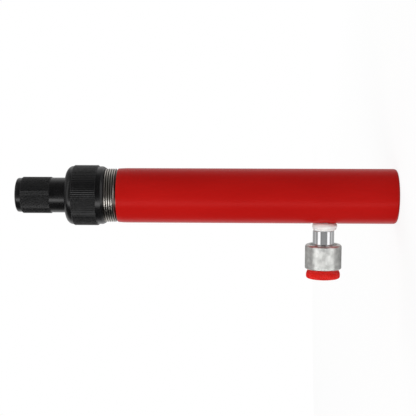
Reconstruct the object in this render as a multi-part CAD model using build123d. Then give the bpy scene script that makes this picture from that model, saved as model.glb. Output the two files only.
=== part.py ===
from build123d import *
import math
import os

# Single-acting hydraulic lift cylinder with a spring return, in millimetres.
# It stands on its base: the origin is the centre of the base face, +Z runs up the
# axis to the load face, and the oil coupler points along -Y.
# Screw threads, knurls and ribs are drawn plain, at their crest or pitch size.

# Clearances
running_clearance = 0.04  # radial, between pieces that slide or turn on each other
thread_gap = 0.05  # radial, between an outside thread and the inside thread on it
fit_gap = 0.03  # radial, round pieces that sit still in a groove or a hole
seat_gap = 0.05  # axial, between faces that rest on each other

# Plunger and its travel
stroke = 120.0
floor_gap = 12.0  # oil space left under the piston when it is home
rod_d = 24.0
rod_bore_d = 15.0
rod_bore_roof = 6.0  # solid steel between the spring space and the shoulder
stud_thread_d = 19.0
stud_length = 22.0
stud_chamfer = 1.0
piston_step = 2.3  # radial, from the plunger out to the cylinder bore
piston_land_gap = 0.1  # radial, between the steel piston and the bore
bore_d = rod_d + 2 * piston_step

# Piston packing, from the bottom of the plunger upwards
core_tip = 1.0
packing_width = 3.8  # radial, from its core out to the bore
snap_ring_thickness = 1.4
snap_ring_proud = 1.8  # radial, past the core
snap_groove_depth = 0.6
retainer_thickness = 2.5
cup_height = 6.5
cup_lip_flare = 0.25
backup_thickness = 1.5
wear_ring_length = 5.0
wear_ring_wall = 1.5
wear_ring_rise = 2.1  # steel of the land under the wear ring
wear_ring_cheek = 1.65  # steel of the land over it
ring_split = 1.2  # slit in the wear rings
packing_core_d = bore_d - 2 * packing_width
snap_ring_d = packing_core_d + 2 * snap_ring_proud

# Barrel: one steel body, bored from the top and tapped from below
collar_thread_d = 38.1
collar_thread_length = 33.9
tube_step = 0.4  # radial, from the crests of the collar thread out to the tube
barrel_corner = 2.2
socket_thread_d = 23.4
socket_depth = 24.0
socket_chamfer = 1.6
web_thickness = 20.0  # solid steel between the socket and the bore
mouth_chamfer = 0.8
barrel_d = collar_thread_d + 2 * tube_step
bore_floor = socket_depth + web_thickness

# Head bushing screwed into the mouth of the barrel
bushing_length = 33.2
bushing_shoulder = 1.0  # radial, from the bore out to the thread of the bushing
bushing_recess = 0.5  # top of the bushing below the mouth
spanner_slot_width = 3.0
spanner_slot_depth = 2.0
wiper_height = 4.6
wiper_wall = 1.9
wiper_lip = 0.6
bearing_length = 12.0
bearing_wall = 1.4
bearing_rise = 9.0  # up from the underside of the bushing
bushing_thread_d = bore_d + 2 * bushing_shoulder
wiper_d = rod_d + 2 * wiper_wall

# Return spring, stretched between two anchors inside the plunger
spring_wire_d = 2.2
spring_play = 0.8  # radial, between the coils and the plunger
spring_coils = 16
chords_per_coil = 12
anchor_flange_play = 1.3  # radial, between the upper anchor and the plunger
anchor_flange_thickness = 2.6
anchor_plug_length = 10.0
anchor_plug_bevel = 1.0
anchor_hex = 10.0  # across the flats
anchor_thread_d = 8.0
anchor_thread_length = 12.0
tie_rod_d = 5.0
tie_rod_end = 1.0  # thread left past the nut
nut_hex = 8.0  # across the flats
nut_thickness = 4.0
nut_pocket_play = 1.5  # radial, outside the flats of the nut
spring_mean_d = rod_bore_d - spring_wire_d - 2 * spring_play
anchor_flange_d = rod_bore_d - 2 * anchor_flange_play
nut_pocket_d = nut_hex + 2 * nut_pocket_play

# Plunger cap
cap_gap = 0.8  # underside of the cap above the mouth when the plunger is home
cap_length = 38.0
cap_neck_proud = 0.5  # radial, past the plunger
cap_neck_length = 13.3
cap_knurl_proud = 0.5  # radial, past the neck
cap_knurl_chamfer = 0.3
cap_nose_step = 0.8  # radial, in from the knurl
cap_nose_length = 4.0
cap_nose_bevel = 1.2
cap_hole_spare = 1.5  # left over the end of the stud
cap_neck_d = rod_d + 2 * cap_neck_proud
cap_knurl_d = cap_neck_d + 2 * cap_knurl_proud
cap_nose_d = cap_knurl_d - 2 * cap_nose_step

# Collar thread ring
ring_seat = 0.2  # its inner flange above the mouth of the barrel
ring_flange = 2.5
ring_pass = 0.3  # radial, between its opening and the knurl of the cap
ring_opening_bevel = 0.8
ring_face_flat = 2.8  # radial, flat left on its front face
ring_shoulder_wall = 1.85  # radial, outside the collar thread
ring_shoulder_straight = 0.4
ring_knurl_wall = 2.45
ring_knurl_length = 17.3
ring_knurl_chamfer = 0.4
ring_band_wall = 1.6
ring_band_length = 3.3
ring_tail_wall = 0.55
ring_tail_length = 1.8
ring_opening_d = cap_knurl_d + 2 * ring_pass
ring_shoulder_d = collar_thread_d + 2 * ring_shoulder_wall
ring_knurl_d = collar_thread_d + 2 * ring_knurl_wall
ring_band_d = collar_thread_d + 2 * ring_band_wall
ring_tail_d = collar_thread_d + 2 * ring_tail_wall
ring_shoulder_round = (ring_shoulder_d - ring_opening_d) / 2 - ring_face_flat
ring_shoulder_length = ring_shoulder_round + ring_shoulder_straight

# Oil port and the stem of the coupler, measured outwards from the axis of the barrel
port_thread_d = 12.6
port_clear = 0.7  # lower edge of the port above the floor of the bore
spot_face_d = 21.0
spot_face_depth = 0.8
thread_seal_wall = 2.2
thread_seal_height = 5.9
thread_seal_bevel = 1.6
stem_d = 15.2
stem_show = 9.9  # bare stem between the seal and the sleeve
stem_edge = 0.3
stem_inset = 0.6  # end of the stem thread short of the cylinder bore
oil_way_d = 4.0
valve_room_length = 13.5
stem_flange_length = 3.2
nose_length = 5.1
nose_step = 1.4  # radial, in from the flange
nose_chamfer = 0.5
nose_ring_wire_d = 1.4
nose_ring_back = 1.6  # middle of the ring back from the end of the nose
nose_ring_proud = 0.35
port_height = bore_floor + port_thread_d / 2 + port_clear
thread_seal_d = port_thread_d + 2 * thread_seal_wall

# Valve in the coupler stem
ball_d = 7.0
ball_play = 0.7  # radial, between the ball and the valve room
ball_proud = 0.2
seat_shoulder = 1.0  # radial, from the valve room out to the seat insert
seat_insert_length = 3.5
seat_mouth_play = 0.3  # radial, round the ball
seat_hole_d = 4.0
valve_wire_d = 0.8
valve_spring_mean_d = 5.2
valve_spring_coils = 5
valve_room_d = ball_d + 2 * ball_play
seat_insert_d = valve_room_d + 2 * seat_shoulder
seat_mouth_d = ball_d + 2 * seat_mouth_play

# Union sleeve that turns on the stem
sleeve_wall = 2.6
sleeve_length = 17.4
sleeve_countersink_slope = 1.2
sleeve_countersink_depth = 2.2
sleeve_lip = 3.0
sleeve_top_bevel = 1.0
sleeve_end_bevel = 0.5
sleeve_mouth_chamfer = 0.3
flange_proud = 1.8  # radial, past the stem
flange_play = 1.0  # radial, between the flange and the thread of the sleeve
clip_thickness = 1.0
clip_proud = 1.2  # radial, past the stem
clip_play = 0.5  # radial, between the clip and the countersink
clip_groove_depth = 0.4
clip_opening = 4.5
stem_flange_d = stem_d + 2 * flange_proud
nose_d = stem_flange_d - 2 * nose_step
sleeve_thread_d = stem_flange_d + 2 * flange_play
sleeve_d = sleeve_thread_d + 2 * sleeve_wall
clip_d = stem_d + 2 * clip_proud
sleeve_countersink_floor_d = clip_d + 2 * clip_play
sleeve_countersink_d = sleeve_countersink_floor_d + 2 * sleeve_countersink_slope

# Dust plug
plug_gap = 0.15  # underside of its head off the end of the sleeve
plug_head_inset = 0.9  # radial, in from the sleeve
plug_head_length = 6.7
plug_neck_length = 0.7
plug_taper = 1.2  # radial, from the neck out to the head
plug_taper_length = 2.2
plug_flank_round = 3.0
plug_edge_round = 1.4
plug_skirt_clear = 1.6  # end of the skirt past the flange of the stem
plug_skirt_wall = 1.5
plug_skirt_chamfer = 0.5
plug_room = 1.5  # hollow left between the nose of the stem and the plug
plug_head_d = sleeve_d - 2 * plug_head_inset
plug_neck_d = plug_head_d - 2 * plug_taper

# Stations up the barrel that follow from the sizes above
piston_bottom = bore_floor + floor_gap
packing_bottom = piston_bottom + core_tip + seat_gap
retainer_bottom = packing_bottom + snap_ring_thickness + seat_gap
cup_bottom = retainer_bottom + retainer_thickness + seat_gap
backup_bottom = cup_bottom + cup_height + seat_gap
land_bottom = backup_bottom + backup_thickness + seat_gap
wear_ring_bottom = land_bottom + wear_ring_rise
wear_ring_top = wear_ring_bottom + wear_ring_length + 2 * seat_gap
piston_top = wear_ring_top + wear_ring_cheek
bushing_bottom = piston_top + stroke
barrel_top = bushing_bottom + bushing_length
plunger_shoulder = barrel_top + cap_gap
load_face = plunger_shoulder + cap_length
stud_top = plunger_shoulder + stud_length
nut_seat = stud_top - nut_thickness - tie_rod_end - seat_gap
rod_bore_top = plunger_shoulder - rod_bore_roof
ring_front = barrel_top + ring_seat + ring_flange
spring_bottom = bore_floor + anchor_flange_thickness + spring_wire_d / 2 + seat_gap
spring_top = rod_bore_top - anchor_flange_thickness - spring_wire_d / 2 - seat_gap

# Stations out along the coupler
spot_face_out = barrel_d / 2 - spot_face_depth
stem_shoulder = spot_face_out + thread_seal_height + seat_gap
sleeve_top = stem_shoulder + stem_show
sleeve_lip_top = sleeve_top + sleeve_countersink_depth
sleeve_lip_bottom = sleeve_lip_top + sleeve_lip
sleeve_end = sleeve_top + sleeve_length
flange_start = sleeve_lip_bottom + seat_gap
flange_end = flange_start + stem_flange_length
nose_end = flange_end + nose_length
valve_room_start = nose_end - seat_insert_length - valve_room_length
ball_centre = nose_end + ball_proud - ball_d / 2
plug_head_start = sleeve_end + plug_gap
plug_neck_end = plug_head_start + plug_neck_length


def turned(*outline):
    """Revolve a closed outline of (radius, height) corners about Z.

    A third number on a corner bevels it by that much, or rounds it if a fourth
    entry says so."""
    face = make_face(Polyline(*[corner[:2] for corner in outline], close=True))
    for corner in outline:
        if len(corner) > 2:
            vertex = face.vertices().sort_by_distance(corner[:2])[0]
            shape = fillet if corner[3:] == ("round",) else chamfer
            face = shape(vertex, corner[2])
    return revolve(Plane.XZ * face, Axis.Z)


def coil(mean_d, wire_d, bottom, top, turns):
    """A helical spring whose wire centre runs from bottom to top.

    The helix is drawn in straight chords of six-sided wire, which keeps it light."""
    steps = turns * chords_per_coil
    rise = (top - bottom) / steps
    helix = [
        Vector(mean_d / 2, 0, bottom + rise * step).rotate(Axis.Z, 360 * step / chords_per_coil)
        for step in range(steps + 1)
    ]
    path = Polyline(*helix)
    wire = Plane(path @ 0, z_dir=path % 0) * RegularPolygon(wire_d / 2, 6)
    return sweep(wire, path, transition=Transition.RIGHT)


def split_ring(inner_d, outer_d, bottom, height, opening):
    """A flat ring with a gap cut through it on the +X side."""
    ring = turned(
        (inner_d / 2, bottom),
        (outer_d / 2, bottom),
        (outer_d / 2, bottom + height),
        (inner_d / 2, bottom + height),
    )
    gap = Pos(outer_d / 2, 0, bottom + height / 2) * Box(outer_d, opening, 2 * height)
    return ring - gap


def on_port(solid):
    """Turn a coupler piece drawn about Z so that it points out of the port."""
    return Pos(0, 0, port_height) * Rot(90, 0, 0) * solid


def barrel():
    """Steel body: painted tube, collar thread, blind bore, tapped base and port."""
    r = barrel_d / 2
    thread_r = collar_thread_d / 2
    thread_start = barrel_top - collar_thread_length
    body = turned(
        (0, 0),
        (r, 0, barrel_corner, "round"),
        (r, thread_start),
        (thread_r, thread_start),
        (thread_r, barrel_top - mouth_chamfer),
        (thread_r - mouth_chamfer, barrel_top),
        (bushing_thread_d / 2, barrel_top),
        (bushing_thread_d / 2, bushing_bottom),
        (bore_d / 2, bushing_bottom),
        (bore_d / 2, bore_floor),
        (0, bore_floor),
    )
    socket_r = socket_thread_d / 2
    socket = turned(
        (0, 0),
        (socket_r + socket_chamfer, 0),
        (socket_r, socket_chamfer),
        (socket_r, socket_depth),
        (0, socket_depth),
    )
    anchor_hole = Pos(0, 0, bore_floor - anchor_thread_length / 2) * Cylinder(
        anchor_thread_d / 2, anchor_thread_length
    )
    port_r = port_thread_d / 2
    port_start = math.sqrt((bore_d / 2) ** 2 - port_r**2)
    port = on_port(Pos(0, 0, (port_start + r) / 2) * Cylinder(port_r, r - port_start + 2 * seat_gap))
    spot_face = on_port(
        Pos(0, 0, spot_face_out + spot_face_depth)
        * Cylinder(spot_face_d / 2, 2 * spot_face_depth)
    )
    return body - socket - anchor_hole - port - spot_face


def head_bushing():
    """Screwed bushing that guides the plunger and stops the piston."""
    guide_r = rod_d / 2 + running_clearance
    outer_r = bushing_thread_d / 2 - thread_gap
    top = barrel_top - bushing_recess
    bottom = bushing_bottom + seat_gap
    groove_bottom = bushing_bottom + bearing_rise
    groove_top = groove_bottom + bearing_length + 2 * seat_gap
    groove_r = rod_d / 2 + bearing_wall + fit_gap
    body = turned(
        (guide_r, bottom),
        (outer_r, bottom),
        (outer_r, top),
        (wiper_d / 2 + fit_gap, top),
        (wiper_d / 2 + fit_gap, top - wiper_height),
        (guide_r, top - wiper_height),
        (guide_r, groove_top),
        (groove_r, groove_top),
        (groove_r, groove_bottom),
        (guide_r, groove_bottom),
    )
    slot = Pos(0, 0, top) * Box(2 * outer_r + 1, spanner_slot_width, 2 * spanner_slot_depth)
    return body - slot


def rod_wiper():
    """Rubber wiper in the top of the bushing, with a lip on the plunger."""
    inner_r = rod_d / 2 + running_clearance
    outer_r = wiper_d / 2
    bottom = barrel_top - bushing_recess - wiper_height + seat_gap
    top = bottom + wiper_height - 2 * seat_gap
    return turned(
        (inner_r + wiper_lip, bottom),
        (outer_r, bottom),
        (outer_r, top - wiper_lip),
        (inner_r + wiper_lip, top - wiper_lip),
        (inner_r, top),
        (inner_r, top - 2 * wiper_lip),
    )


def bushing_bearing():
    """Split bearing ring in the groove of the head bushing."""
    inner_d = rod_d + 2 * running_clearance
    outer_d = rod_d + 2 * bearing_wall
    bottom = bushing_bottom + bearing_rise + seat_gap
    return split_ring(inner_d, outer_d, bottom, bearing_length, ring_split)


def plunger():
    """Hollow steel plunger with its piston land and the stud for the cap."""
    core_r = packing_core_d / 2
    groove_r = core_r - snap_groove_depth
    groove_bottom = packing_bottom - seat_gap
    groove_top = retainer_bottom
    land_r = bore_d / 2 - piston_land_gap
    wear_r = bore_d / 2 - wear_ring_wall - fit_gap
    stud_r = stud_thread_d / 2
    return turned(
        (rod_bore_d / 2, piston_bottom),
        (core_r, piston_bottom),
        (core_r, groove_bottom),
        (groove_r, groove_bottom),
        (groove_r, groove_top),
        (core_r, groove_top),
        (core_r, land_bottom),
        (land_r, land_bottom),
        (land_r, wear_ring_bottom),
        (wear_r, wear_ring_bottom),
        (wear_r, wear_ring_top),
        (land_r, wear_ring_top),
        (land_r, piston_top),
        (rod_d / 2, piston_top),
        (rod_d / 2, plunger_shoulder),
        (stud_r, plunger_shoulder),
        (stud_r, stud_top - stud_chamfer),
        (stud_r - stud_chamfer, stud_top),
        (nut_pocket_d / 2, stud_top),
        (nut_pocket_d / 2, nut_seat),
        (tie_rod_d / 2 + fit_gap, nut_seat),
        (tie_rod_d / 2 + fit_gap, rod_bore_top),
        (rod_bore_d / 2, rod_bore_top),
    )


def retainer_snap_ring():
    """Open snap ring that holds the packing on the plunger."""
    inner_d = packing_core_d - 2 * snap_groove_depth + 2 * fit_gap
    return split_ring(inner_d, snap_ring_d, packing_bottom, snap_ring_thickness, clip_opening)


def seal_retainer():
    """Steel washer between the snap ring and the cup seal."""
    inner_r = packing_core_d / 2 + fit_gap
    outer_r = bore_d / 2 - piston_land_gap
    top = retainer_bottom + retainer_thickness
    return turned(
        (inner_r, retainer_bottom),
        (outer_r, retainer_bottom),
        (outer_r, top),
        (inner_r, top),
    )


def piston_seal():
    """Cup seal whose two lips face down, to the oil."""
    inner_r = packing_core_d / 2 + fit_gap
    outer_r = bore_d / 2 - running_clearance
    heel_r = outer_r - cup_lip_flare
    middle_r = (inner_r + outer_r) / 2
    top = cup_bottom + cup_height
    lip = cup_height / 2
    return turned(
        (inner_r, top),
        (heel_r, top),
        (heel_r, cup_bottom + lip),
        (outer_r, cup_bottom + lip / 3),
        (outer_r - 2 * cup_lip_flare, cup_bottom),
        (middle_r, cup_bottom + lip),
        (inner_r + 2 * cup_lip_flare, cup_bottom),
        (inner_r, cup_bottom + lip / 3),
    )


def backup_ring():
    """Hard plastic ring that keeps the cup seal out of the gap above it."""
    inner_r = packing_core_d / 2 + fit_gap
    outer_r = bore_d / 2 - running_clearance
    top = backup_bottom + backup_thickness
    return turned(
        (inner_r, backup_bottom),
        (outer_r, backup_bottom),
        (outer_r, top),
        (inner_r, top),
    )


def piston_wear_ring():
    """Split bearing ring in the groove of the piston land."""
    outer_d = bore_d - 2 * running_clearance
    inner_d = bore_d - 2 * wear_ring_wall
    bottom = wear_ring_bottom + seat_gap
    return split_ring(inner_d, outer_d, bottom, wear_ring_length, ring_split)


def anchor_plug_r():
    """Radius of the anchor plugs that the end coils are wound on."""
    middle_of_chord = spring_mean_d / 2 * math.cos(math.pi / chords_per_coil)
    return middle_of_chord - spring_wire_d / 2 - fit_gap


def lower_spring_anchor():
    """Hexagon anchor screwed into the floor of the bore."""
    stud_r = anchor_thread_d / 2 - thread_gap
    floor = bore_floor + seat_gap
    head = extrude(RegularPolygon(anchor_hex / 2, 6, major_radius=False), anchor_flange_thickness)
    stud_bottom = bore_floor - anchor_thread_length + seat_gap
    plug_top = floor + anchor_flange_thickness + anchor_plug_length
    shank = turned(
        (0, stud_bottom),
        (stud_r, stud_bottom),
        (stud_r, floor + anchor_flange_thickness / 2),
        (anchor_plug_r(), floor + anchor_flange_thickness / 2),
        (anchor_plug_r(), plug_top, anchor_plug_bevel),
        (0, plug_top),
    )
    return Pos(0, 0, floor) * head + shank


def upper_spring_anchor():
    """Anchor whose tie rod runs up through the stud of the plunger."""
    flange_top = rod_bore_top - seat_gap
    flange_bottom = flange_top - anchor_flange_thickness
    return turned(
        (0, flange_bottom - anchor_plug_length),
        (anchor_plug_r(), flange_bottom - anchor_plug_length, anchor_plug_bevel),
        (anchor_plug_r(), flange_bottom),
        (anchor_flange_d / 2, flange_bottom),
        (anchor_flange_d / 2, flange_top),
        (tie_rod_d / 2, flange_top),
        (tie_rod_d / 2, stud_top),
        (0, stud_top),
    )


def anchor_nut():
    """Hexagon nut that pulls the upper anchor against the plunger."""
    hexagon = RegularPolygon(nut_hex / 2, 6, major_radius=False)
    flat = hexagon - Circle(tie_rod_d / 2 + thread_gap)
    return Pos(0, 0, nut_seat + seat_gap) * extrude(flat, nut_thickness)


def return_spring():
    """Extension spring that pulls the plunger home."""
    return coil(spring_mean_d, spring_wire_d, spring_bottom, spring_top, spring_coils)


def plunger_cap():
    """Knurled steel cap on the stud of the plunger, with the flat load face."""
    knurl_start = plunger_shoulder + cap_neck_length
    knurl_end = load_face - cap_nose_length
    hole_r = stud_thread_d / 2 + thread_gap
    hole_top = stud_top + cap_hole_spare
    bottom = plunger_shoulder + seat_gap
    step = cap_knurl_chamfer
    return turned(
        (hole_r, bottom),
        (cap_neck_d / 2, bottom),
        (cap_neck_d / 2, knurl_start),
        (cap_knurl_d / 2 - step, knurl_start),
        (cap_knurl_d / 2, knurl_start + step),
        (cap_knurl_d / 2, knurl_end - step),
        (cap_nose_d / 2, knurl_end),
        (cap_nose_d / 2, load_face, cap_nose_bevel),
        (0, load_face),
        (0, hole_top),
        (hole_r, hole_top),
    )


def thread_ring():
    """Knurled steel ring screwed over the collar thread to protect it."""
    opening_r = ring_opening_d / 2
    thread_r = collar_thread_d / 2 + thread_gap
    knurl_top = ring_front - ring_shoulder_length
    knurl_bottom = knurl_top - ring_knurl_length
    band_bottom = knurl_bottom - ring_band_length
    tail = band_bottom - ring_tail_length
    step = ring_knurl_chamfer
    return turned(
        (opening_r, ring_front, ring_opening_bevel),
        (ring_shoulder_d / 2, ring_front, ring_shoulder_round, "round"),
        (ring_shoulder_d / 2, knurl_top),
        (ring_knurl_d / 2, knurl_top - step),
        (ring_knurl_d / 2, knurl_bottom + step),
        (ring_band_d / 2, knurl_bottom),
        (ring_band_d / 2, band_bottom),
        (ring_tail_d / 2, tail),
        (thread_r, tail),
        (thread_r, ring_front - ring_flange),
        (opening_r, ring_front - ring_flange),
    )


def thread_seal():
    """White sealing ring wound on the bare end of the stem thread."""
    inner_r = port_thread_d / 2 + fit_gap
    outer_r = thread_seal_d / 2
    top = spot_face_out + thread_seal_height
    ring = turned(
        (inner_r, spot_face_out),
        (outer_r, spot_face_out, thread_seal_bevel),
        (outer_r, top, thread_seal_bevel),
        (inner_r, top),
    )
    return on_port(ring)


def coupler_stem():
    """Chromed stem of the coupler, with its valve room, flange and nose."""
    thread_r = port_thread_d / 2 - thread_gap
    inner_end = bore_d / 2 + stem_inset
    stem_r = stem_d / 2
    clip_bottom = sleeve_lip_top - clip_thickness - 2 * seat_gap
    clip_top = sleeve_lip_top
    groove_r = stem_r - clip_groove_depth
    ring_middle = nose_end - nose_ring_back
    ring_half = nose_ring_wire_d / 2 + seat_gap
    ring_floor = nose_d / 2 + nose_ring_proud - nose_ring_wire_d - fit_gap
    insert_r = seat_insert_d / 2 + fit_gap
    stem = turned(
        (oil_way_d / 2, inner_end),
        (thread_r, inner_end),
        (thread_r, stem_shoulder),
        (stem_r, stem_shoulder, stem_edge),
        (stem_r, clip_bottom),
        (groove_r, clip_bottom),
        (groove_r, clip_top),
        (stem_r, clip_top),
        (stem_r, flange_start),
        (stem_flange_d / 2, flange_start),
        (stem_flange_d / 2, flange_end),
        (nose_d / 2, flange_end),
        (nose_d / 2, ring_middle - ring_half),
        (ring_floor, ring_middle - ring_half),
        (ring_floor, ring_middle + ring_half),
        (nose_d / 2, ring_middle + ring_half),
        (nose_d / 2, nose_end - nose_chamfer),
        (nose_d / 2 - nose_chamfer, nose_end),
        (insert_r, nose_end),
        (insert_r, nose_end - seat_insert_length),
        (valve_room_d / 2, nose_end - seat_insert_length),
        (valve_room_d / 2, valve_room_start),
        (oil_way_d / 2, valve_room_start),
    )
    return on_port(stem)


def nose_ring():
    """Rubber ring in the groove of the stem nose."""
    middle_r = nose_d / 2 + nose_ring_proud - nose_ring_wire_d / 2
    section = Pos(middle_r, nose_end - nose_ring_back) * RegularPolygon(nose_ring_wire_d / 2, 8)
    return on_port(revolve(Plane.XZ * section, Axis.Z))


def valve_seat():
    """Screwed insert with the cone that the check ball closes on."""
    contact = ball_d / 2 * math.sin(math.radians(45)) + seat_gap
    contact_at = ball_centre + contact - seat_gap
    mouth_r = seat_mouth_d / 2
    hole_r = seat_hole_d / 2
    back = nose_end - seat_insert_length + seat_gap
    seat = turned(
        (seat_insert_d / 2, back),
        (seat_insert_d / 2, nose_end),
        (hole_r, nose_end),
        (hole_r, contact_at + contact - hole_r),
        (mouth_r, contact_at + contact - mouth_r),
        (mouth_r, back),
    )
    return on_port(seat)


def check_ball():
    """Steel ball that closes the coupler until a mating half pushes it in."""
    return on_port(Pos(0, 0, ball_centre) * Sphere(ball_d / 2))


def valve_spring():
    """Small spring that holds the check ball on its seat."""
    reach = (ball_d + valve_wire_d) / 2 + seat_gap
    back_off = math.sqrt(reach**2 - (valve_spring_mean_d / 2) ** 2)
    bottom = valve_room_start + valve_wire_d / 2 + seat_gap
    top = ball_centre - back_off
    return on_port(coil(valve_spring_mean_d, valve_wire_d, bottom, top, valve_spring_coils))


def sleeve_clip():
    """Open wire clip in the stem that keeps the sleeve from sliding back."""
    inner_d = stem_d - 2 * clip_groove_depth + 2 * fit_gap
    bottom = sleeve_lip_top - clip_thickness - seat_gap
    return on_port(split_ring(inner_d, clip_d, bottom, clip_thickness, clip_opening))


def coupler_sleeve():
    """Union sleeve: spins on the stem and screws onto the mating half."""
    bore_r = stem_d / 2 + running_clearance
    thread_r = sleeve_thread_d / 2
    r = sleeve_d / 2
    sleeve = turned(
        (bore_r, sleeve_lip_top),
        (sleeve_countersink_floor_d / 2, sleeve_lip_top),
        (sleeve_countersink_d / 2, sleeve_top),
        (r, sleeve_top, sleeve_top_bevel),
        (r, sleeve_end, sleeve_end_bevel),
        (thread_r + sleeve_mouth_chamfer, sleeve_end),
        (thread_r, sleeve_end - sleeve_mouth_chamfer),
        (thread_r, sleeve_lip_bottom),
        (bore_r, sleeve_lip_bottom),
    )
    return on_port(sleeve)


def dust_plug():
    """Moulded plug whose threaded skirt closes the mouth of the sleeve."""
    skirt_r = sleeve_thread_d / 2 - thread_gap
    skirt_inner_r = skirt_r - plug_skirt_wall
    skirt_start = flange_end + plug_skirt_clear
    head_r = plug_head_d / 2
    end = plug_head_start + plug_head_length
    plug = turned(
        (skirt_inner_r, skirt_start),
        (skirt_r - plug_skirt_chamfer, skirt_start),
        (skirt_r, skirt_start + plug_skirt_chamfer),
        (skirt_r, plug_head_start),
        (plug_neck_d / 2, plug_head_start),
        (plug_neck_d / 2, plug_neck_end),
        (head_r, plug_neck_end + plug_taper_length, plug_flank_round, "round"),
        (head_r, end, plug_edge_round, "round"),
        (0, end),
        (0, nose_end + plug_room),
        (skirt_inner_r, nose_end + plug_room),
    )
    return on_port(plug)


pieces = [
    barrel,
    head_bushing,
    rod_wiper,
    bushing_bearing,
    plunger,
    retainer_snap_ring,
    seal_retainer,
    piston_seal,
    backup_ring,
    piston_wear_ring,
    lower_spring_anchor,
    upper_spring_anchor,
    anchor_nut,
    return_spring,
    plunger_cap,
    thread_ring,
    thread_seal,
    coupler_stem,
    nose_ring,
    valve_seat,
    check_ball,
    valve_spring,
    sleeve_clip,
    coupler_sleeve,
    dust_plug,
]

os.makedirs("parts", exist_ok=True)
for piece in pieces:
    export_step(piece(), f"parts/{piece.__name__}.step")
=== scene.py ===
import math

import bmesh
import bpy
from mathutils import Matrix, Vector, noise


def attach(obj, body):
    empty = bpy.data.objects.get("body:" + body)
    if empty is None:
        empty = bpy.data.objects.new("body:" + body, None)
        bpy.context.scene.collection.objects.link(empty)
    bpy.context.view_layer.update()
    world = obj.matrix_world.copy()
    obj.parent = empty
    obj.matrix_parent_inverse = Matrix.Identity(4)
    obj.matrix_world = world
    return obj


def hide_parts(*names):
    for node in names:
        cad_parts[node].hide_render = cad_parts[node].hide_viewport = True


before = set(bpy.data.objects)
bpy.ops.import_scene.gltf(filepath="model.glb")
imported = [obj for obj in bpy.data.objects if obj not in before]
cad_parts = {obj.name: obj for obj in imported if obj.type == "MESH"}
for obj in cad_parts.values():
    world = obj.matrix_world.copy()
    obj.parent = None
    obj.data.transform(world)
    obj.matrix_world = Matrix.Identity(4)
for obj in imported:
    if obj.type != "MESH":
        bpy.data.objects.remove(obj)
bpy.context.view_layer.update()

scene = bpy.context.scene
scene.view_settings.view_transform = "Standard"

# Camera
# The cylinder lies on its side in the picture, so the camera is rolled: the axis of the
# barrel runs across the image, plunger to the left, and the coupler hangs down.
lens_in_pixels = 975.2
image_width = 416
photo_camera = bpy.data.cameras.new("photo_camera")
photo_camera.sensor_width = 36
photo_camera.lens = photo_camera.sensor_width * lens_in_pixels / image_width
photo_camera.clip_start = 0.01
camera = bpy.data.objects.new("photo_camera", photo_camera)
camera.rotation_mode = "ZXY"
camera.rotation_euler = (math.radians(-6.649), math.radians(92.338), math.radians(0.016))
camera.location = (0.69105, 0.07176, 0.10515)
scene.collection.objects.link(camera)
scene.camera = camera

# Floor and room
# A round white table top stands under the base. The room is white to the camera, and
# what polished metal sees of it is a ring of grey and white screens round the object.
table_radius = 0.9
table_colour = (0.86, 0.86, 0.86, 1)
table_glow = 0.8
bm = bmesh.new()
bmesh.ops.create_circle(bm, cap_ends=True, radius=table_radius, segments=96)
table_mesh = bpy.data.meshes.new("table_top")
bm.to_mesh(table_mesh)
bm.free()
table = bpy.data.objects.new("table_top", table_mesh)
table.visible_glossy = False
scene.collection.objects.link(table)
paper = bpy.data.materials.new("white_paper")
paper.use_nodes = True
nodes, links = paper.node_tree.nodes, paper.node_tree.links
nodes.remove(nodes["Principled BSDF"])
matt = nodes.new("ShaderNodeBsdfDiffuse")
matt.inputs["Color"].default_value = table_colour
glow = nodes.new("ShaderNodeEmission")
glow.inputs["Strength"].default_value = 1.05
path = nodes.new("ShaderNodeLightPath")
seen = nodes.new("ShaderNodeMath")
seen.operation = "MULTIPLY"
seen.inputs[1].default_value = table_glow
mix = nodes.new("ShaderNodeMixShader")
links.new(path.outputs["Is Camera Ray"], seen.inputs[0])
links.new(seen.outputs[0], mix.inputs["Fac"])
links.new(matt.outputs[0], mix.inputs[1])
links.new(glow.outputs[0], mix.inputs[2])
links.new(mix.outputs[0], nodes["Material Output"].inputs["Surface"])
table_mesh.materials.append(paper)

room = bpy.data.worlds.new("room")
room.use_nodes = True
scene.world = room
nodes, links = room.node_tree.nodes, room.node_tree.links
nodes.clear()


def room_node(kind, **settings):
    node = nodes.new(kind)
    for name, value in settings.items():
        setattr(node, name, value)
    return node


def room_ramp(value, stops):
    """Brightness of the screens against a number from 0 to 1."""
    ramp = room_node("ShaderNodeValToRGB")
    ramp.color_ramp.interpolation = "EASE"
    while len(ramp.color_ramp.elements) < len(stops):
        ramp.color_ramp.elements.new(0.5)
    for element, (place, level) in zip(ramp.color_ramp.elements, stops):
        element.position = place
        element.color = (level, level, level, 1)
    links.new(value, ramp.inputs["Fac"])
    return ramp.outputs["Color"]


def room_mix(factor, first, second):
    blend = room_node("ShaderNodeMix", data_type="RGBA")
    links.new(factor, blend.inputs["Factor"])
    for place, source in ((6, first), (7, second)):
        if isinstance(source, tuple):
            blend.inputs[place].default_value = source
        else:
            links.new(source, blend.inputs[place])
    return blend.outputs[2]


def turn_from(side, front):
    """How far round a direction lies, from 0 behind to a half in front."""
    bearing = room_node("ShaderNodeMath", operation="ARCTAN2")
    links.new(side, bearing.inputs[0])
    links.new(front, bearing.inputs[1])
    part = room_node("ShaderNodeMapRange")
    part.inputs["From Min"].default_value = -math.pi
    part.inputs["From Max"].default_value = math.pi
    links.new(bearing.outputs[0], part.inputs["Value"])
    return part.outputs["Result"]


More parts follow.
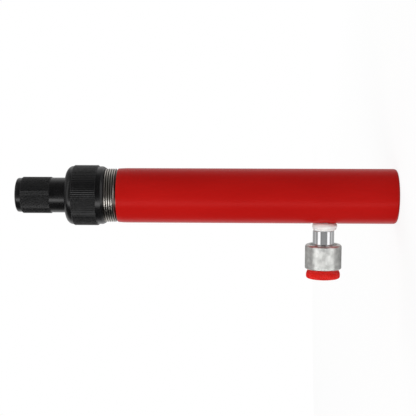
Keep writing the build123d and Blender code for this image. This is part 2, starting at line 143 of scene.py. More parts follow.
# The first ring of screens stands round the axis of the barrel, from -X over -Y, +X and +Y.
# The second stands round the axis of the coupler, from -X over -Z, +X and +Z.
direction = room_node("ShaderNodeTexCoord")
split = room_node("ShaderNodeSeparateXYZ")
links.new(direction.outputs["Generated"], split.inputs[0])
screens_round = room_ramp(
    turn_from(split.outputs["Y"], split.outputs["X"]),
    [
        (0.0, 0.40),
        (0.05, 0.60),
        (0.09, 1.10),
        (0.165, 1.00),
        (0.215, 0.26),
        (0.26, 0.05),
        (0.385, 0.05),
        (0.406, 4.0),
        (0.434, 4.0),
        (0.452, 0.18),
        (0.470, 0.34),
        (0.485, 0.34),
        (0.510, 0.06),
        (0.66, 0.06),
        (0.74, 0.22),
        (0.82, 0.90),
        (0.91, 1.10),
        (0.95, 0.60),
        (1.0, 0.40),
    ],
)
screens_over = room_ramp(
    turn_from(split.outputs["Z"], split.outputs["X"]),
    [
        (0.0, 0.50),
        (0.19, 0.42),
        (0.235, 0.65),
        (0.285, 0.38),
        (0.306, 0.40),
        (0.322, 1.25),
        (0.390, 1.20),
        (0.404, 0.30),
        (0.590, 0.29),
        (0.610, 1.30),
        (0.676, 1.30),
        (0.692, 0.40),
        (0.74, 0.38),
        (0.775, 0.65),
        (0.82, 0.42),
        (1.0, 0.50),
    ],
)


def rising(part, start, end):
    """From 0 to 1 as a part of the direction goes from start to end."""
    reach = room_node("ShaderNodeMapRange")
    reach.inputs["From Min"].default_value = start
    reach.inputs["From Max"].default_value = end
    links.new(part, reach.inputs["Value"])
    return reach.outputs["Result"]


height = room_node("ShaderNodeMath", operation="ABSOLUTE")
links.new(split.outputs["Z"], height.inputs[0])
over = room_node("ShaderNodeMath", operation="MULTIPLY")
links.new(rising(height.outputs[0], 0.32, 0.44), over.inputs[0])
links.new(rising(split.outputs["Y"], -0.38, -0.26), over.inputs[1])
screens = room_mix(over.outputs[0], screens_round, screens_over)
path = room_node("ShaderNodeLightPath")
ambient = (0.56, 0.56, 0.56, 1)
seen_by_metal = room_mix(path.outputs["Is Glossy Ray"], ambient, screens)
seen_through = room_mix(path.outputs["Is Transmission Ray"], seen_by_metal, (1, 1, 1, 1))
seen_all = room_mix(path.outputs["Is Camera Ray"], seen_through, (1, 1, 1, 1))
background = room_node("ShaderNodeBackground")
output = room_node("ShaderNodeOutputWorld")
links.new(seen_all, background.inputs["Color"])
links.new(background.outputs[0], output.inputs["Surface"])

# Two large soft lamps, one from beside the camera and one from behind, shape the object
# and lay its faint shadow on the table.
for name, place, size, power in (
    ("key_lamp", (1.1, -0.55, 0.5), 0.9, 8.2),
    ("back_lamp", (-1.0, 0.65, 0.85), 0.9, 6.5),
):
    lamp = bpy.data.lights.new(name, "AREA")
    lamp.shape = "DISK"
    lamp.size = size
    lamp.energy = power
    lamp_object = bpy.data.objects.new(name, lamp)
    lamp_object.location = place
    towards = Vector((0, 0, 0.12)) - lamp_object.location
    lamp_object.rotation_euler = towards.to_track_quat("-Z", "Y").to_euler()
    lamp_object.visible_glossy = False
    scene.collection.objects.link(lamp_object)

# Barrel tube
# A drawn steel tube with a solid rounded base, bored from the top, with a flat spot face
# and a hole for the coupler. Sprayed with red semi-gloss enamel.
smooth_steps = 192
tube_r = 19.45
tube_end_r = 19.12
tube_top = 197.3
paint_fade = 4.5
bore_r = 14.3
bore_floor = 44.0
socket_mouth_r = 13.3
socket_depth = 24.0
port_height = 51.0
spot_face_out = 18.65


def lathe(outline, steps=smooth_steps, bm=None, closed=False):
    """Spin an outline of (radius, height) points in millimetres round the Z axis."""
    bm = bm or bmesh.new()
    corners = [bm.verts.new((radius, 0, z)) for radius, z in outline]
    sides = [bm.edges.new(pair) for pair in zip(corners, corners[1:])]
    if closed:
        sides.append(bm.edges.new((corners[-1], corners[0])))
    bmesh.ops.spin(
        bm, geom=corners + sides, cent=(0, 0, 0), axis=(0, 0, 1), angle=2 * math.pi,
        steps=steps, use_merge=True, use_duplicate=False,
    )
    bmesh.ops.remove_doubles(bm, verts=bm.verts, dist=1e-3)
    bmesh.ops.recalc_face_normals(bm, faces=bm.faces)
    return bm


def round_ring(bm, radius, height, size, segments=4):
    """Round the sharp ring that lies at this radius and height."""
    def on_ring(vert):
        return (
            abs(math.hypot(vert.co.x, vert.co.y) - radius) < 1e-2
            and abs(vert.co.z - height) < 1e-2
        )

    ring = [edge for edge in bm.edges if all(on_ring(vert) for vert in edge.verts)]
    bmesh.ops.bevel(
        bm, geom=ring, offset=size, offset_type="OFFSET", segments=segments, profile=0.5,
        affect="EDGES", material=-1,
    )


def solid_object(bm, name, material, crease=32, place=None):
    """Make the finished object, with its place and its size in metres in the mesh."""
    bmesh.ops.scale(bm, vec=(0.001, 0.001, 0.001), verts=bm.verts)
    if place:
        bmesh.ops.transform(bm, matrix=place, verts=bm.verts)
    mesh = bpy.data.meshes.new(name)
    bm.to_mesh(mesh)
    bm.free()
    mesh.shade_smooth()
    mesh.set_sharp_from_angle(angle=math.radians(crease))
    mesh.materials.append(material)
    made = bpy.data.objects.new(name, mesh)
    scene.collection.objects.link(made)
    weighted = made.modifiers.new("even_normals", "WEIGHTED_NORMAL")
    weighted.keep_sharp = True
    return made


def new_material(name, **sockets):
    """A material with its plain values on the shader's own sockets."""
    material = bpy.data.materials.new(name)
    material.use_nodes = True
    shader = material.node_tree.nodes["Principled BSDF"]
    for socket, value in sockets.items():
        shader.inputs[socket.replace("_", " ")].default_value = value
    return material, material.node_tree, shader


def pattern(tree, kind, stretch=(1, 1, 1), **sockets):
    """A procedural texture on object coordinates, stretched along X, Y and Z."""
    place = tree.nodes.new("ShaderNodeTexCoord")
    mapping = tree.nodes.new("ShaderNodeMapping")
    mapping.inputs["Scale"].default_value = stretch
    texture = tree.nodes.new(kind)
    for socket, value in sockets.items():
        texture.inputs[socket.replace("_", " ")].default_value = value
    tree.links.new(place.outputs["Object"], mapping.inputs["Vector"])
    tree.links.new(mapping.outputs["Vector"], texture.inputs["Vector"])
    return texture.outputs[0]


def spread(tree, source, socket, low, high, start=0.0, end=1.0):
    """Drive a number from a texture, from low to high."""
    reach = tree.nodes.new("ShaderNodeMapRange")
    reach.inputs["From Min"].default_value = start
    reach.inputs["From Max"].default_value = end
    reach.inputs["To Min"].default_value = low
    reach.inputs["To Max"].default_value = high
    tree.links.new(source, reach.inputs["Value"])
    tree.links.new(reach.outputs["Result"], socket)


def tint(tree, source, socket, stops):
    """Drive a colour from a texture through a ramp."""
    ramp = tree.nodes.new("ShaderNodeValToRGB")
    while len(ramp.color_ramp.elements) < len(stops):
        ramp.color_ramp.elements.new(0.5)
    for element, (place, colour) in zip(ramp.color_ramp.elements, stops):
        element.position = place
        element.color = (*colour, 1)
    tree.links.new(source, ramp.inputs["Fac"])
    tree.links.new(ramp.outputs["Color"], socket)


def relief(tree, shader, source, depth, strength=1.0):
    """Bump the surface by a depth in metres."""
    bump = tree.nodes.new("ShaderNodeBump")
    bump.inputs["Distance"].default_value = depth
    bump.inputs["Strength"].default_value = strength
    tree.links.new(source, bump.inputs["Height"])
    tree.links.new(bump.outputs["Normal"], shader.inputs["Normal"])


red_paint, tree, shader = new_material(
    "red_enamel", IOR=1.45, Specular_IOR_Level=0.10
)
drift = pattern(tree, "ShaderNodeTexNoise", (1, 1, 0.25), Scale=60, Detail=3)
tint(
    tree, drift, shader.inputs["Base Color"],
    [(0.3, (0.415, 0.0046, 0.0032)), (0.7, (0.455, 0.0062, 0.0046))],
)
orange_peel = pattern(tree, "ShaderNodeTexNoise", (1, 1, 1), Scale=900, Detail=2)
spread(tree, orange_peel, shader.inputs["Roughness"], 0.27, 0.36)
relief(tree, shader, orange_peel, 0.00002, 0.35)

bm = lathe(
    [
        (0, socket_depth),
        (socket_mouth_r, socket_depth),
        (socket_mouth_r, 0),
        (tube_r, 0),
        (tube_r, 20),
        (tube_r, 85),
        (tube_r, tube_top - paint_fade),
        (tube_end_r, tube_top),
        (bore_r, tube_top),
        (bore_r, bore_floor),
        (0, bore_floor),
    ]
)
round_ring(bm, tube_r, 0, 2.2, 6)
round_ring(bm, tube_r, tube_top - paint_fade, 2.2, 4)
round_ring(bm, tube_end_r, tube_top, 0.2, 2)
barrel_tube = solid_object(bm, "barrel_tube", red_paint)

on_port = Matrix.Translation((0, 0, port_height / 1000)) @ Matrix.Rotation(math.pi / 2, 4, "X")
cutter_bm = lathe(
    [(0, 12), (6.3, 12), (6.3, spot_face_out), (10.5, spot_face_out), (10.5, 23), (0, 23)],
    steps=96,
)
cutter = solid_object(cutter_bm, "port_cutter", red_paint, place=on_port)
cut = barrel_tube.modifiers.new("port", "BOOLEAN")
cut.operation = "DIFFERENCE"
cut.solver = "EXACT"
cut.object = cutter
barrel_tube.modifiers.move(1, 0)
barrel_tube.modifiers.remove(barrel_tube.modifiers["even_normals"])
drilled = bpy.data.meshes.new_from_object(
    barrel_tube.evaluated_get(bpy.context.evaluated_depsgraph_get())
)
barrel_tube.modifiers.clear()
barrel_tube.data = drilled
drilled.name = "barrel_tube"
drilled.shade_smooth()
drilled.set_sharp_from_angle(angle=math.radians(32))
bpy.data.objects.remove(cutter)
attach(barrel_tube, "barrel")
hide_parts("barrel")

# Collar thread
# The bare steel end of the barrel: an outside screw thread for clamps and heads, cut down
# to a narrow groove beside the paint, and tapped inside for the head bushing. A painted
# highlight lightens its crests, and painted shade darkens its roots and the groove.
collar_crest = 19.05
collar_root = 18.2
collar_pitch = 1.5875
collar_steps = 128
barrel_top = 231.2
groove_top = 198.0
groove_r = 18.1
mouth_chamfer = 0.8
bushing_hole_r = 15.3
bushing_bottom = 198.0


def screw_thread(bm, crest, root, pitch, low, high, steps, low_r, high_r, run_out=0.0):
    """Spin one thread tooth up a helix, and trim it flat at both of its ends.

    Between the ends the thread keeps clear of the radius that it starts or ends at,
    by a chamfer of run_out in height."""
    turns = math.ceil((high - low) / pitch) + 2
    tooth = [(root, 0), (root, 0.08), (crest, 0.36), (crest, 0.64), (root, 0.92), (root, 1)]
    coil = bmesh.new()
    corners = [coil.verts.new((r, 0, low + (z - 1) * pitch)) for r, z in tooth]
    sides = [coil.edges.new(pair) for pair in zip(corners, corners[1:])]
    bmesh.ops.spin(
        coil, geom=corners + sides, cent=(0, 0, 0), axis=(0, 0, 1),
        dvec=(0, 0, pitch / steps), angle=2 * math.pi, steps=steps,
        use_merge=False, use_duplicate=False,
    )
    one_turn = coil.verts[:] + coil.edges[:] + coil.faces[:]
    for turn in range(1, turns):
        copy = bmesh.ops.duplicate(coil, geom=one_turn)["geom"]
        copied = [part for part in copy if isinstance(part, bmesh.types.BMVert)]
        bmesh.ops.translate(coil, vec=(0, 0, turn * pitch), verts=copied)
    nearer = min if crest > root else max
    for vert in coil.verts:
        r = math.hypot(vert.co.x, vert.co.y)
        z = min(max(vert.co.z, low), high)
        slope = 1 if crest > root else -1
        if run_out:
            r = nearer(r, low_r + slope * (z - low) * 1.2, high_r + slope * (high - z))
        if z == low:
            r = low_r
        if z == high:
            r = high_r
        turn = math.atan2(vert.co.y, vert.co.x)
        vert.co = (r * math.cos(turn), r * math.sin(turn), z)
    helix = bpy.data.meshes.new("helix")
    coil.to_mesh(helix)
    coil.free()
    bm.from_mesh(helix)
    bpy.data.meshes.remove(helix)


def close_up(bm):
    """Join the turned and threaded surfaces of one piece, and point them outwards."""
    bmesh.ops.remove_doubles(bm, verts=bm.verts, dist=2e-3)
    bmesh.ops.dissolve_degenerate(bm, edges=bm.edges, dist=1e-3)
    bmesh.ops.recalc_face_normals(bm, faces=bm.faces)


cut_steel, tree, shader = new_material(
    "cut_steel", Metallic=1.0, Specular_IOR_Level=0.5
)
stain = pattern(tree, "ShaderNodeTexNoise", (1, 1, 1), Scale=220, Detail=4)
tint(
    tree, stain, shader.inputs["Base Color"],
    [(0.35, (0.20, 0.185, 0.165)), (0.65, (0.36, 0.345, 0.32))],
)
turned_lines = pattern(tree, "ShaderNodeTexNoise", (1, 1, 40), Scale=160, Detail=2)
spread(tree, turned_lines, shader.inputs["Roughness"], 0.26, 0.42)
relief(tree, shader, turned_lines, 0.00002, 0.4)

# Bare steel thread with a painted highlight on its crests and painted shade in its roots and
# groove.
shaded_thread_steel, tree, shader = new_material(
    "shaded_thread_steel", Metallic=1.0, Specular_IOR_Level=0.5
)
place = tree.nodes.new("ShaderNodeTexCoord")
across = tree.nodes.new("ShaderNodeMapping")
across.inputs["Scale"].default_value = (1, 1, 0)
depth = tree.nodes.new("ShaderNodeVectorMath")
depth.operation = "LENGTH"
tree.links.new(place.outputs["Object"], across.inputs["Vector"])
tree.links.new(across.outputs["Vector"], depth.inputs[0])
# The base colour follows the radius. It is darkest in the thread roots and the groove by the paint,
# where this is painted shade, and lightest on the crests, where this is a painted highlight.
painted_shade_by_radius = tree.nodes.new("ShaderNodeMapRange")
painted_shade_by_radius.inputs["From Min"].default_value = (collar_root + 0.1) / 1000
painted_shade_by_radius.inputs["From Max"].default_value = (collar_crest - 0.05) / 1000
tree.links.new(depth.outputs["Value"], painted_shade_by_radius.inputs["Value"])
tint(
    tree, painted_shade_by_radius.outputs["Result"], shader.inputs["Base Color"],
    [(0.05, (0.10, 0.092, 0.082)), (0.95, (0.52, 0.495, 0.46))],
)
oil = pattern(tree, "ShaderNodeTexNoise", (1, 1, 1), Scale=260, Detail=4)
spread(tree, oil, shader.inputs["Roughness"], 0.24, 0.40)
relief(tree, shader, oil, 0.00002, 0.4)

bm = bmesh.new()
screw_thread(
    bm, collar_crest, collar_root, collar_pitch, groove_top, barrel_top, collar_steps,
    groove_r, collar_crest - mouth_chamfer, run_out=1.0,
)
bm = lathe(
    [
        (collar_crest - mouth_chamfer, barrel_top),
        (bushing_hole_r, barrel_top),
        (bushing_hole_r, bushing_bottom),
        (bore_r, bushing_bottom),
        (bore_r, tube_top + 0.02),
        (groove_r, tube_top + 0.02),
        (groove_r, groove_top),
    ],
    steps=collar_steps, bm=bm,
)
close_up(bm)
collar_thread = solid_object(bm, "collar_thread", shaded_thread_steel)
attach(collar_thread, "barrel")

# Base socket
# The bare wall of the tapped hole in the base, where a flat foot, a wedge or an extension
# tube screws in.
socket_pitch = 1.8143
socket_crest = 11.7
socket_root = 12.75
socket_steps = 96
socket_thread_end = 19.0
bm = bmesh.new()
screw_thread(
    bm, socket_crest, socket_root, socket_pitch, 0.4, socket_thread_end, socket_steps,
    socket_mouth_r - 0.2, socket_root, run_out=1.0,
)
bm = lathe(
    [
        (socket_root, socket_thread_end),
        (socket_root, socket_depth - 0.3),
        (socket_mouth_r - 0.02, socket_depth - 0.3),
        (socket_mouth_r - 0.02, 0.4),
        (socket_mouth_r - 0.2, 0.4),
    ],
    steps=socket_steps, bm=bm,
)
close_up(bm)
base_socket = solid_object(bm, "base_socket", cut_steel)
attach(base_socket, "barrel")

# Thread ring
# A loose steel ring, blacked, that protects the collar thread. Rolled straight ribs for
# the fingers run between a rounded shoulder in front and a plain band behind.
ring_ribs = 92
ring_rib_depth = 0.26
ring_front = 233.9
ring_opening_r = 13.3
ring_shoulder_r = 20.9
ring_knurl_r = 21.5
ring_band_r = 20.65
ring_tail_r = 19.6
ring_thread_r = 19.12
ring_flange = 2.5
ring_shoulder_round = 4.8
ring_shoulder_length = 5.2
ring_knurl_length = 17.3
ring_band_length = 3.3
ring_tail_length = 1.8


def straight_ribs(bm, count, depth, low, high, least_r):
    """Press round-bottomed grooves into the skin that lies between two heights."""
    for vert in bm.verts:
        r = math.hypot(vert.co.x, vert.co.y)
        if low - 1e-3 <= vert.co.z <= high + 1e-3 and r > least_r:
            wave = 0.5 - 0.5 * math.cos(math.atan2(vert.co.y, vert.co.x) * count)
            narrowed = 1 - depth * wave / r
            vert.co.x *= narrowed
            vert.co.y *= narrowed


black_steel, tree, shader = new_material(
    "black_oxide", IOR=1.5, Specular_IOR_Level=0.34
)
bloom = pattern(tree, "ShaderNodeTexNoise", (1, 1, 1), Scale=130, Detail=5)
tint(
    tree, bloom, shader.inputs["Base Color"],
    [(0.3, (0.0034, 0.0034, 0.0037)), (0.7, (0.0062, 0.0061, 0.0064))],
)
spread(tree, bloom, shader.inputs["Roughness"], 0.20, 0.31)
fine_grain = pattern(tree, "ShaderNodeTexNoise", (1, 1, 1), Scale=2400, Detail=2)
relief(tree, shader, fine_grain, 0.00001, 0.5)

knurl_top = ring_front - ring_shoulder_length
knurl_bottom = knurl_top - ring_knurl_length
band_bottom = knurl_bottom - ring_band_length
ring_tail = band_bottom - ring_tail_length
bm = lathe(
    [
        (ring_opening_r, ring_front),
        (ring_shoulder_r, ring_front),
        (ring_shoulder_r, knurl_top),
        (ring_knurl_r - 0.4, knurl_top),
        (ring_knurl_r, knurl_top - 0.4),
        (ring_knurl_r, knurl_bottom + 0.4),
        (ring_knurl_r - 0.4, knurl_bottom),
        (ring_band_r, knurl_bottom),
        (ring_band_r, band_bottom),
        (ring_tail_r, ring_tail),
        (ring_thread_r, ring_tail),
        (ring_thread_r, ring_front - ring_flange),
        (ring_opening_r, ring_front - ring_flange),
    ],
    steps=ring_ribs * 6, closed=True,
)
round_ring(bm, ring_shoulder_r, ring_front, ring_shoulder_round, 8)
round_ring(bm, ring_opening_r, ring_front, 0.8, 2)
round_ring(bm, ring_band_r, band_bottom, 0.5, 3)
straight_ribs(
    bm, ring_ribs, ring_rib_depth, knurl_bottom + 0.4, knurl_top - 0.4, ring_knurl_r - 0.1
)
thread_ring = solid_object(bm, "ring_body", black_steel, crease=38)
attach(thread_ring, "thread_ring")
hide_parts("thread_ring")

# Plunger cap
# A blacked steel cap screwed on the stud of the plunger. It has a plain neck, a ribbed
# grip and a flat nose that carries the load.
cap_ribs = 84
cap_rib_depth = 0.20
shoulder = 232.0
load_face = 270.0
cap_neck_r = 12.5
cap_knurl_r = 13.0
cap_nose_r = 12.2
cap_neck_length = 13.3
cap_nose_length = 4.0
stud_r = 9.5
stud_top = 254.0
grip_start = shoulder + cap_neck_length
grip_end = load_face - cap_nose_length
bm = lathe(
    [
        (0, load_face),
        (cap_nose_r, load_face),
        (cap_nose_r, grip_end),
        (cap_knurl_r - 0.3, grip_end),
        (cap_knurl_r, grip_end - 0.3),
        (cap_knurl_r, grip_start + 0.3),
        (cap_knurl_r - 0.3, grip_start),
        (cap_neck_r, grip_start),
        (cap_neck_r, shoulder + 0.05),
        (stud_r + 0.06, shoulder + 0.05),
        (stud_r + 0.06, stud_top + 1.5),
        (0, stud_top + 1.5),
    ],
    steps=cap_ribs * 6,
)
round_ring(bm, cap_nose_r, load_face, 1.2, 5)
round_ring(bm, cap_neck_r, shoulder + 0.05, 0.3, 2)
straight_ribs(
    bm, cap_ribs, cap_rib_depth, grip_start + 0.3, grip_end - 0.3, cap_knurl_r - 0.1
)
cap_body = solid_object(bm, "cap_body", black_steel, crease=38)
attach(cap_body, "plunger_cap")
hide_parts("plunger_cap")

# Plunger
# A hollow steel rod, hard chromed and polished where it runs through the wiper, with the
# piston land at its foot and the threaded stud that the cap screws on.
rod_r = 12.0
stud_pitch = 1.5
stud_root = 8.65
chrome, tree, shader = new_material(
    "chrome_plate", Metallic=1.0, Specular_IOR_Level=0.5
)
haze = pattern(tree, "ShaderNodeTexNoise", (1, 1, 1), Scale=90, Detail=3)
tint(
    tree, haze, shader.inputs["Base Color"],
    [(0.3, (0.74, 0.74, 0.75)), (0.7, (0.82, 0.82, 0.83))],
)
hone = pattern(tree, "ShaderNodeTexNoise", (1, 1, 1), Scale=1500, Detail=2)
spread(tree, hone, shader.inputs["Roughness"], 0.06, 0.12)
relief(tree, shader, hone, 0.000004, 0.3)

bm = bmesh.new()
screw_thread(
    bm, stud_r, stud_root, stud_pitch, shoulder + 1.4, stud_top, 96,
    stud_root, stud_r - 1.0, run_out=1.0,
)
bm = lathe(
    [
        (stud_r - 1.0, stud_top),
        (5.5, stud_top),
        (5.5, 248.95),
        (2.53, 248.95),
        (2.53, 226.0),
        (7.5, 226.0),
        (7.5, 56.0),
        (10.5, 56.0),
        (10.5, 57.0),
        (9.9, 57.0),
        (9.9, 58.5),
        (10.5, 58.5),
        (10.5, 69.15),
        (14.2, 69.15),
        (14.2, 71.25),
        (12.77, 71.25),
        (12.77, 76.35),
        (14.2, 76.35),
        (14.2, 78.0),
        (rod_r, 78.0),
        (rod_r, shoulder),
        (stud_root, shoulder),
        (stud_root, shoulder + 1.4),
    ],
    steps=96, bm=bm,
)
close_up(bm)
round_ring(bm, rod_r, shoulder, 0.4, 2)
plunger_rod = solid_object(bm, "plunger_rod", chrome)
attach(plunger_rod, "plunger")
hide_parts("plunger")

# Coupler stem
# The chromed steel stem that screws into the barrel. It carries the check valve, and a
# flange inside the sleeve; a nose with a rubber ring seals in the other half.
stem_steps = 96
stem_r = 7.6
stem_shoulder = 24.6
bm = lathe(
    [
        (2.0, 14.9),
        (6.2, 14.9),
        (6.2, stem_shoulder),
        (stem_r, stem_shoulder),
        (stem_r, 35.6),
        (stem_r - 0.4, 35.6),
        (stem_r - 0.4, 36.7),
        (stem_r, 36.7),
        (stem_r, 39.75),
        (9.4, 39.75),
        (9.4, 42.95),
        (8.0, 42.95),
        (8.0, 45.70),
        (6.92, 45.70),
        (6.92, 47.20),
        (8.0, 47.20),
        (8.0, 47.55),
        (7.5, 48.05),
        (5.23, 48.05),
        (5.23, 44.55),
        (4.2, 44.55),
        (4.2, 31.05),
        (2.0, 31.05),
    ],
    steps=stem_steps, closed=True,
)
round_ring(bm, stem_r, stem_shoulder, 0.3, 2)
stem_body = solid_object(bm, "stem_body", chrome, place=on_port)
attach(stem_body, "barrel")
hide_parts("coupler_stem")

# Thread seal
# Soft white sealing tape, wound round the thread of the stem and bunched up in folds when
# the stem was screwed home. It bulges most on the side of the base.
seal_steps = 144
seal_inner = 6.33
seal_low = 18.75
seal_high = 24.75
seal_bulge = 0.9
bm = lathe(
    [
        (seal_inner, seal_low),
        (6.9, seal_low),
        (7.6, seal_low + 0.3),
        (8.2, seal_low + 0.9),
        (8.55, seal_low + 1.6),
        (8.7, seal_low + 2.3),
        (8.65, seal_low + 3.0),
        (8.4, seal_low + 3.5),
        (8.35, seal_low + 3.9),
        (8.3, seal_low + 4.5),
        (7.95, seal_low + 5.1),
        (7.4, seal_low + 5.55),
        (6.8, seal_high - 0.15),
        (seal_inner, seal_high - 0.15),
    ],
    steps=seal_steps, closed=True,
)
for vert in bm.verts:
    r = math.hypot(vert.co.x, vert.co.y)
    if r < seal_inner + 0.5:
        continue
    out = (r - seal_inner) / (9.0 - seal_inner)
    turn = math.atan2(vert.co.y, vert.co.x)
    # The coupler's own Y becomes the barrel's axis, so the base side is at minus Y here.
    base_side = -math.sin(turn)
    lobe = math.exp(-(((turn + math.pi / 2) / 0.45) ** 2)) - math.exp(-(((turn + 0.7) / 0.16) ** 2))
    folds = noise.noise(Vector((math.cos(turn) * 1.7, math.sin(turn) * 1.7, vert.co.z * 0.4)))
    creases = noise.noise(Vector((math.cos(turn) * 4, math.sin(turn) * 4, vert.co.z * 1.2)))
    grown = r + out * (seal_bulge * base_side + 0.3 * lobe + 0.3 * folds + 0.12 * creases)
    vert.co.x *= grown / r
    vert.co.y *= grown / r
    vert.co.z += out * 0.2 * folds
bmesh.ops.recalc_face_normals(bm, faces=bm.faces)
white_tape, tree, shader = new_material(
    "white_tape", Specular_IOR_Level=0.3, Subsurface_Weight=0.35, Subsurface_Scale=0.002,
    Subsurface_Radius=(1.0, 0.9, 0.85),
)
layers = pattern(tree, "ShaderNodeTexNoise", (1, 6, 1), Scale=320, Detail=4)
tint(
    tree, layers, shader.inputs["Base Color"],
    [(0.3, (0.80, 0.77, 0.75)), (0.7, (0.92, 0.91, 0.89))],
)
spread(tree, layers, shader.inputs["Roughness"], 0.35, 0.55)
relief(tree, shader, layers, 0.0001, 0.5)
seal_body = solid_object(bm, "seal_body", white_tape, crease=70, place=on_port)
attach(seal_body, "barrel")
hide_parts("thread_seal")

# Coupler sleeve
# A zinc plated steel union sleeve that spins on the stem. Its skin is rolled with a fine
# diamond grip, and its mouth is tapped for the hose half.
diamonds_round = 76
diamond_pitch = 1.075
sleeve_r = 13.0
sleeve_top = 34.5
sleeve_end = 51.9
sleeve_top_bevel = 1.0
sleeve_end_bevel = 0.5
grip_low = sleeve_top + sleeve_top_bevel + 0.2
grip_rows = 52
grip_step = (sleeve_end - sleeve_end_bevel - 0.2 - grip_low) / grip_rows
sleeve_crest = 10.4
sleeve_root = 11.35
sleeve_pitch = 1.8143
sleeve_steps = diamonds_round * 4
bm = bmesh.new()
screw_thread(
    bm, sleeve_crest, sleeve_root, sleeve_pitch, 40.6, sleeve_end - 0.3, sleeve_steps,
    sleeve_root, sleeve_root, run_out=1.0,
)
bm = lathe(
    [
        (sleeve_root, 40.6),
        (sleeve_crest, 40.3),
        (sleeve_crest, 39.7),
        (stem_r + 0.05, 39.7),
        (stem_r + 0.05, 36.7),
        (9.3, 36.7),
        (10.0, sleeve_top),
        (sleeve_r - sleeve_top_bevel, sleeve_top),
        (sleeve_r - 0.15, sleeve_top + sleeve_top_bevel),
        *[(sleeve_r, grip_low + row * grip_step) for row in range(grip_rows + 1)],
        (sleeve_r - 0.1, sleeve_end - sleeve_end_bevel),
        (sleeve_r - sleeve_end_bevel, sleeve_end),
        (sleeve_root + 0.2, sleeve_end),
        (sleeve_root, sleeve_end - 0.3),
    ],
    steps=sleeve_steps, bm=bm,
)
close_up(bm)
round_ring(bm, sleeve_r - sleeve_top_bevel, sleeve_top, 0.25, 2)
round_ring(bm, sleeve_r - sleeve_end_bevel, sleeve_end, 0.2, 2)
for vert in bm.verts:
    r = math.hypot(vert.co.x, vert.co.y)
    if r > sleeve_r - 0.05:
        across = math.atan2(vert.co.y, vert.co.x) * diamonds_round / (2 * math.pi)
        along = (vert.co.z - grip_low) / diamond_pitch
        first, second = across + along, across - along
        near = min(abs(first - round(first)), abs(second - round(second)))
        pressed = 1 - 0.22 * max(0, 1 - 3.2 * near) / r
        vert.co.x *= pressed
        vert.co.y *= pressed
satin_zinc, tree, shader = new_material(
    "satin_zinc", Metallic=1.0, Specular_IOR_Level=0.5
)
spangle = pattern(tree, "ShaderNodeTexVoronoi", (1, 1, 1), Scale=420)
cloud = pattern(tree, "ShaderNodeTexNoise", (1, 1, 1), Scale=260, Detail=4)
tint(
    tree, cloud, shader.inputs["Base Color"],
    [(0.34, (0.54, 0.545, 0.525)), (0.66, (0.78, 0.785, 0.76))],
)
spread(tree, cloud, shader.inputs["Roughness"], 0.30, 0.46)
relief(tree, shader, spangle, 0.00006, 0.6)
sleeve_body = solid_object(bm, "sleeve_body", satin_zinc, crease=50, place=on_port)
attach(sleeve_body, "coupler_sleeve")
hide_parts("coupler_sleeve")

# Dust plug
# A moulded red plastic plug with a ribbed head for the fingers and a short threaded skirt
# that holds it in the mouth of the sleeve.
plug_ribs = 54
plug_rib_depth = 0.42
plug_steps = plug_ribs * 6
head_start = 52.05
head_end = 58.75
head_r = 12.1
neck_r = 10.9
neck_end = 52.75
flank_end = 54.95
skirt_low = 44.55
skirt_crest = 10.35
skirt_root = 9.55
bm = bmesh.new()
screw_thread(
    bm, skirt_crest, skirt_root, sleeve_pitch, skirt_low + 0.5, head_start - 0.6, plug_steps,
    skirt_root, skirt_root, run_out=1.0,
)
bm = lathe(
    [
        (skirt_root, head_start - 0.6),
        (skirt_root, head_start),
        (neck_r, head_start),
        (neck_r, neck_end),
        (head_r, flank_end),
        (head_r, head_end),
        (0, head_end),
    ],
    steps=plug_steps, bm=bm,
)
bm = lathe(
    [
        (0, 49.55),
        (8.85, 49.55),
        (8.85, skirt_low),
        (skirt_root, skirt_low),
        (skirt_root, skirt_low + 0.5),
    ],
    steps=plug_steps, bm=bm,
)
close_up(bm)
round_ring(bm, head_r, head_end, 1.4, 5)
round_ring(bm, head_r, flank_end, 1.1, 5)
for vert in bm.verts:
    r = math.hypot(vert.co.x, vert.co.y)
    if vert.co.z > neck_end + 0.2 and r > neck_r + 0.2:
        turn = math.atan2(vert.co.y, vert.co.x) * plug_ribs / (2 * math.pi)
        off = 2 * abs(turn - round(turn))
        pressed = 1 - plug_rib_depth * off / r
        vert.co.x *= pressed
        vert.co.y *= pressed
red_plastic, tree, shader = new_material(
    "red_plastic", IOR=1.46, Specular_IOR_Level=0.35, Subsurface_Weight=0.12,
    Subsurface_Scale=0.001, Subsurface_Radius=(1.0, 0.2, 0.1),
)
flow = pattern(tree, "ShaderNodeTexNoise", (1, 1, 1), Scale=110, Detail=3)
tint(
    tree, flow, shader.inputs["Base Color"],
    [(0.3, (0.60, 0.0055, 0.003)), (0.7, (0.74, 0.0095, 0.005))],
)
spread(tree, flow, shader.inputs["Roughness"], 0.32, 0.42)
mould_grain = pattern(tree, "ShaderNodeTexNoise", (1, 1, 1), Scale=1300, Detail=2)
relief(tree, shader, mould_grain, 0.00002, 0.4)
plug_body = solid_object(bm, "plug_body", red_plastic, crease=45, place=on_port)
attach(plug_body, "dust_plug")
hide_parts("dust_plug")

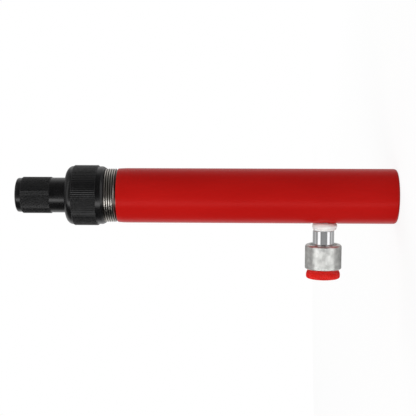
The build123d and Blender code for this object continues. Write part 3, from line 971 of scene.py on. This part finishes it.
# Inner pieces
# What the cap, the ring and the sleeve hide keeps its frame mesh: turned steel washers,
# anchors and bushing, rubber and plastic rings, springs, clip and ball.
black_rubber, tree, shader = new_material("black_rubber", IOR=1.5, Specular_IOR_Level=0.35)
dust = pattern(tree, "ShaderNodeTexNoise", (1, 1, 1), Scale=500, Detail=4)
tint(
    tree, dust, shader.inputs["Base Color"],
    [(0.35, (0.016, 0.016, 0.017)), (0.75, (0.034, 0.034, 0.033))],
)
spread(tree, dust, shader.inputs["Roughness"], 0.5, 0.7)
relief(tree, shader, dust, 0.00003, 0.4)

bearing_resin, tree, shader = new_material("bearing_resin", IOR=1.5, Specular_IOR_Level=0.4)
fibres = pattern(tree, "ShaderNodeTexNoise", (1, 1, 5), Scale=700, Detail=3)
tint(
    tree, fibres, shader.inputs["Base Color"],
    [(0.3, (0.16, 0.14, 0.10)), (0.7, (0.26, 0.235, 0.18))],
)
spread(tree, fibres, shader.inputs["Roughness"], 0.4, 0.6)
relief(tree, shader, fibres, 0.00002, 0.4)

spring_wire, tree, shader = new_material("spring_wire", Metallic=1.0)
drawn = pattern(tree, "ShaderNodeTexNoise", (1, 1, 1), Scale=600, Detail=3)
tint(
    tree, drawn, shader.inputs["Base Color"],
    [(0.3, (0.20, 0.20, 0.205)), (0.7, (0.34, 0.34, 0.345))],
)
spread(tree, drawn, shader.inputs["Roughness"], 0.25, 0.4)
relief(tree, shader, drawn, 0.00001, 0.4)

finishes = {
    "head_bushing": cut_steel,
    "rod_wiper": black_rubber,
    "bushing_bearing": bearing_resin,
    "retainer_snap_ring": spring_wire,
    "seal_retainer": cut_steel,
    "piston_seal": black_rubber,
    "backup_ring": bearing_resin,
    "piston_wear_ring": bearing_resin,
    "lower_spring_anchor": cut_steel,
    "upper_spring_anchor": cut_steel,
    "anchor_nut": cut_steel,
    "return_spring": spring_wire,
    "nose_ring": black_rubber,
    "valve_seat": cut_steel,
    "check_ball": chrome,
    "valve_spring": spring_wire,
    "sleeve_clip": spring_wire,
}
for name, finish in finishes.items():
    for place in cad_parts[name].material_slots:
        place.material = finish
